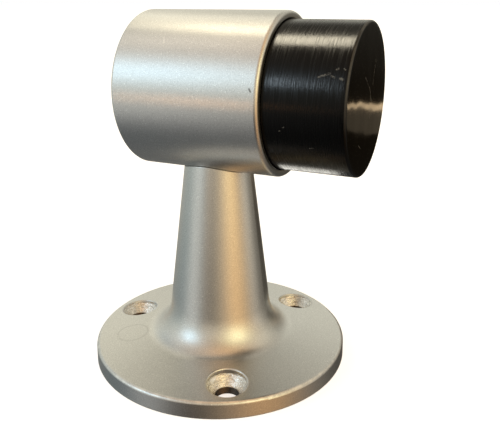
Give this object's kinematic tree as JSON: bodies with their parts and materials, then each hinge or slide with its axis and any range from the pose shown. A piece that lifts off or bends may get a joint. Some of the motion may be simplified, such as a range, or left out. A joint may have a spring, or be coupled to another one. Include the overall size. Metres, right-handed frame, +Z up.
{
  "type": "floor door stop",
  "caption": "Pedestal floor door stop: round screw-down flange, tapered post and a horizontal barrel that holds a cylindrical rubber buffer.",
  "frame": {"origin": "middle of the pedestal's underside, on the floor, which is also the centre of the circle of fixing holes", "axes": "+Z up the post, +X along the barrel towards the buffer, the way the door arrives from"},
  "size_m": [0.0735, 0.07, 0.0922],
  "materials": {
    "satin_silver": "fine-grained satin silver on cast and turned aluminium, bare bright metal in the countersinks",
    "buffer_rubber": "black rubber, ground to a soft gloss with fine lines round it",
    "zinc_plated_steel": "bright zinc plating"
  },
  "bodies": {
    "root": {"pedestal": "satin_silver", "barrel": "satin_silver", "buffer": "buffer_rubber", "joining_screw": "zinc_plated_steel", "plain_washer": "zinc_plated_steel", "lock_washer": "zinc_plated_steel"}
  },
  "joints": []
}
